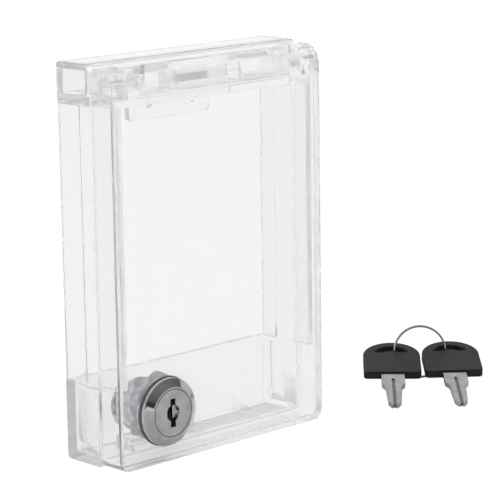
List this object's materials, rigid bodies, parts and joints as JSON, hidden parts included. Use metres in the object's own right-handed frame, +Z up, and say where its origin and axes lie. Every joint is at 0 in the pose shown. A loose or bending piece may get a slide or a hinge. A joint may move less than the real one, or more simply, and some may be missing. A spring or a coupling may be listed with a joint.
{
  "type": "thermostat lock box",
  "caption": "Clear moulded wall box with a top-hinged clear cover, a cam lock low on its left, an open back for a thermostat, and a pair of keys on a split ring.",
  "frame": {"origin": "middle of the box's underside: half-way across its width and half-way between its front face and the wall face", "axes": "+X to the right seen from the front, +Y towards the wall, +Z up"},
  "size_m": [0.1837, 0.0589, 0.142],
  "materials": {
    "clear_plastic": "clear polished moulding",
    "nickel": "bright nickel plate",
    "zinc": "bluish zinc plate",
    "brass": "stamped",
    "black_plastic": "fine matt moulding"
  },
  "bodies": {
    "base": {"base_frame": "clear_plastic", "header_back_plate": "clear_plastic", "strike": "clear_plastic", "hinge_pin_left": "clear_plastic", "hinge_pin_right": "clear_plastic"},
    "cover": {"front_cover": "clear_plastic", "lock_housing": "nickel", "lock_washer": "zinc", "lock_nut": "zinc"},
    "lock_core": {"lock_plug": "nickel", "wafer_tumblers": "brass", "wafer_springs": "zinc", "stop_washer": "zinc", "cam": "zinc", "cam_washer": "zinc", "cam_screw": "nickel"},
    "key_set": {"key_bow_left": "black_plastic", "key_blade_left": "nickel", "key_bow_right": "black_plastic", "key_blade_right": "nickel", "key_ring": "nickel"}
  },
  "joints": [
    {"name": "cover_hinge", "type": "hinge", "parent": "base", "child": "cover", "pos_m": [0, -0.0092, 0.1365], "axis": [-1, 0, 0], "range_deg": [0, 90]},
    {"name": "lock_turn", "type": "hinge", "parent": "cover", "child": "lock_core", "pos_m": [-0.0278, 0, 0.0186], "axis": [0, 1, 0], "range_deg": [0, 90]},
    {"name": "key_lift", "type": "slide", "parent": "base", "child": "key_set", "axis": [0, 0, 1], "range_m": [0, 0.03]}
  ]
}
